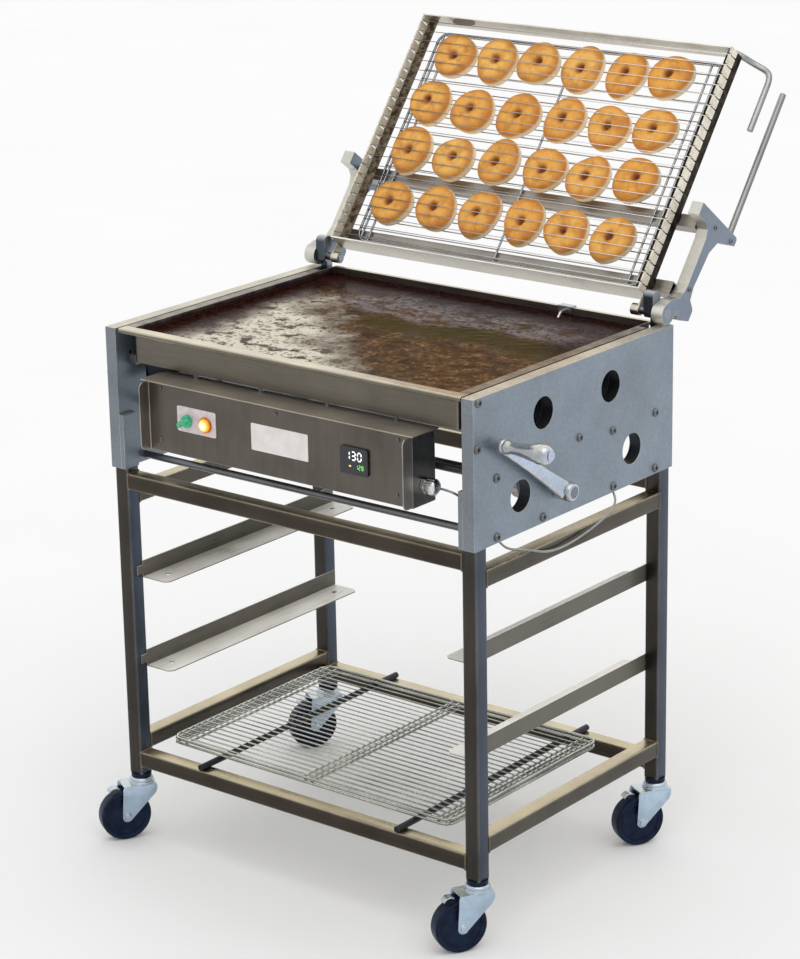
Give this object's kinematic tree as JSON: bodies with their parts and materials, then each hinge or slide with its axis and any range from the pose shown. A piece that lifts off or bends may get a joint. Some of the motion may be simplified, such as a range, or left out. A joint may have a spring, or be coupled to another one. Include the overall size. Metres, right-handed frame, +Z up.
{
  "type": "donut icing station",
  "caption": "Wheeled stand with side plates, a heated icing pan raised by a side crank, a control box, and a tilting screen rack with a hold-down frame for dipping donuts.",
  "frame": {"origin": "on the floor under the middle of the leg frame", "axes": "+Z up, +Y to the rear where the rack hinges, +X to the right where the crank is"},
  "size_m": [1.0478, 1.101, 1.539],
  "materials": {
    "stand_tube": "brushed stainless square tube",
    "plate": "machined aluminium plate",
    "sheet": "brushed stainless sheet",
    "rod": "drawn stainless rod",
    "post": "dark coated hinge post",
    "wire": "bright plated wire",
    "comb": "pale satin sheet",
    "pan_steel": "satin stainless pan",
    "icing": "dark glossy icing",
    "dough": "fried dough",
    "cast": "polished casting",
    "grip": "polished turned grip",
    "knob": "green translucent knob",
    "lamp": "amber lens",
    "legend": "pale plate",
    "controller": "black bezel",
    "zinc": "zinc plated",
    "heater": "silicone heater mat",
    "terminal": "moulded terminal block",
    "lead": "braided lead",
    "wheel": "dark tread on a moulded wheel",
    "probe": "stainless probe"
  },
  "bodies": {
    "stand": {"legs": "stand_tube", "cross_rails": "stand_tube", "side_rails": "stand_tube", "seat_blocks": "plate", "left_plate": "plate", "right_plate": "plate", "tie_rods": "rod", "runners": "sheet", "shelf_rods": "rod", "left_hinge_post": "post", "right_hinge_post": "post", "caster_sockets": "zinc"},
    "cradle": {"left_arm": "plate", "right_arm": "plate", "cross_bars": "sheet", "rod_handle": "rod", "donut_screen": "wire", "donuts": "dough"},
    "lid": {"left_comb": "comb", "right_comb": "comb", "lid_low_wall": "comb", "lid_high_wall": "comb", "hold_down_wires": "wire", "lid_handle": "wire"},
    "pan": {"pan": "pan_steel", "icing": "icing", "probe_clip": "zinc", "probe": "probe", "guide_pins": "rod", "heater": "heater", "lift_posts": "plate", "box_shell": "sheet", "front_panel": "sheet", "box_cover": "sheet", "hanger_studs": "rod", "legend_plate": "legend", "lamp": "lamp", "controller": "controller", "terminal_block": "terminal", "gland": "zinc", "probe_lead": "lead"},
    "crank": {"crank_shaft": "rod", "lift_cams": "cast", "crank_arm": "cast"},
    "grip": {"crank_grip": "grip"},
    "selector": {"selector_knob": "knob"},
    "spare_low": {"spare_screen_low": "wire"},
    "spare_high": {"spare_screen_high": "wire"},
    "front_left_swivel": {"front_left_fork": "zinc"},
    "front_left_roller": {"front_left_wheel": "wheel"},
    "front_left_pedal": {"front_left_brake": "zinc"},
    "front_right_swivel": {"front_right_fork": "zinc"},
    "front_right_roller": {"front_right_wheel": "wheel"},
    "front_right_pedal": {"front_right_brake": "zinc"},
    "rear_left_swivel": {"rear_left_fork": "zinc"},
    "rear_left_roller": {"rear_left_wheel": "wheel"},
    "rear_left_pedal": {"rear_left_brake": "zinc"},
    "rear_right_swivel": {"rear_right_fork": "zinc"},
    "rear_right_roller": {"rear_right_wheel": "wheel"},
    "rear_right_pedal": {"rear_right_brake": "zinc"}
  },
  "joints": [
    {"name": "pan_lift", "type": "slide", "parent": "stand", "child": "pan", "axis": [0, 0, 1], "range_m": [0, 0.012], "deforming": ["icing"]},
    {"name": "cradle_tilt", "type": "hinge", "parent": "stand", "child": "cradle", "pos_m": [0, 0.292, 1.0746], "axis": [-1, 0, 0], "range_deg": [-127.5, 0]},
    {"name": "lid_swing", "type": "hinge", "parent": "cradle", "child": "lid", "pos_m": [0, 0.292, 1.0746], "axis": [1, 0, 0], "range_deg": [0, 127.5]},
    {"name": "crank_turn", "type": "hinge", "parent": "stand", "child": "crank", "pos_m": [0, -0.063, 0.8254], "axis": [-1, 0, 0], "range_deg": [0, 172]},
    {"name": "grip_spin", "type": "hinge", "parent": "crank", "child": "grip", "pos_m": [0.5, -0.25268, 0.95723], "axis": [1, 0, 0], "continuous": true},
    {"name": "selector_turn", "type": "hinge", "parent": "pan", "child": "selector", "pos_m": [-0.216, -0.335, 0.906], "axis": [0, 1, 0], "range_deg": [0, 90]},
    {"name": "spare_low_slide", "type": "slide", "parent": "stand", "child": "spare_low", "axis": [0, -1, 0], "range_m": [0, 0.45]},
    {"name": "spare_high_slide", "type": "slide", "parent": "stand", "child": "spare_high", "axis": [0, -1, 0], "range_m": [0, 0.45]},
    {"name": "front_left_swivel_turn", "type": "hinge", "parent": "stand", "child": "front_left_swivel", "pos_m": [-0.41913, -0.28913, 0.136], "axis": [0, 0, 1], "continuous": true},
    {"name": "front_left_wheel_roll", "type": "hinge", "parent": "front_left_swivel", "child": "front_left_roller", "pos_m": [-0.43812, -0.32203, 0.051], "axis": [0.866, -0.5, 0], "continuous": true},
    {"name": "front_left_brake_press", "type": "hinge", "parent": "front_left_swivel", "child": "front_left_pedal", "pos_m": [-0.45112, -0.34455, 0.1087], "axis": [0.866, -0.5, 0], "range_deg": [0, 12]},
    {"name": "front_right_swivel_turn", "type": "hinge", "parent": "stand", "child": "front_right_swivel", "pos_m": [0.41913, -0.28913, 0.136], "axis": [0, 0, 1], "continuous": true},
    {"name": "front_right_wheel_roll", "type": "hinge", "parent": "front_right_swivel", "child": "front_right_roller", "pos_m": [0.40013, -0.32203, 0.051], "axis": [0.866, -0.5, 0], "continuous": true},
    {"name": "front_right_brake_press", "type": "hinge", "parent": "front_right_swivel", "child": "front_right_pedal", "pos_m": [0.38712, -0.34455, 0.1087], "axis": [0.866, -0.5, 0], "range_deg": [0, 12]},
    {"name": "rear_left_swivel_turn", "type": "hinge", "parent": "stand", "child": "rear_left_swivel", "pos_m": [-0.41913, 0.28913, 0.136], "axis": [0, 0, 1], "continuous": true},
    {"name": "rear_left_wheel_roll", "type": "hinge", "parent": "rear_left_swivel", "child": "rear_left_roller", "pos_m": [-0.43812, 0.25622, 0.051], "axis": [0.866, -0.5, 0], "continuous": true},
    {"name": "rear_left_brake_press", "type": "hinge", "parent": "rear_left_swivel", "child": "rear_left_pedal", "pos_m": [-0.45112, 0.2337, 0.1087], "axis": [0.866, -0.5, 0], "range_deg": [0, 12]},
    {"name": "rear_right_swivel_turn", "type": "hinge", "parent": "stand", "child": "rear_right_swivel", "pos_m": [0.41913, 0.28913, 0.136], "axis": [0, 0, 1], "continuous": true},
    {"name": "rear_right_wheel_roll", "type": "hinge", "parent": "rear_right_swivel", "child": "rear_right_roller", "pos_m": [0.40013, 0.25622, 0.051], "axis": [0.866, -0.5, 0], "continuous": true},
    {"name": "rear_right_brake_press", "type": "hinge", "parent": "rear_right_swivel", "child": "rear_right_pedal", "pos_m": [0.38712, 0.2337, 0.1087], "axis": [0.866, -0.5, 0], "range_deg": [0, 12]}
  ],
  "couplings": [
    {"joint": "crank_turn", "follows": "pan_lift", "rad_per_m": 250}
  ]
}
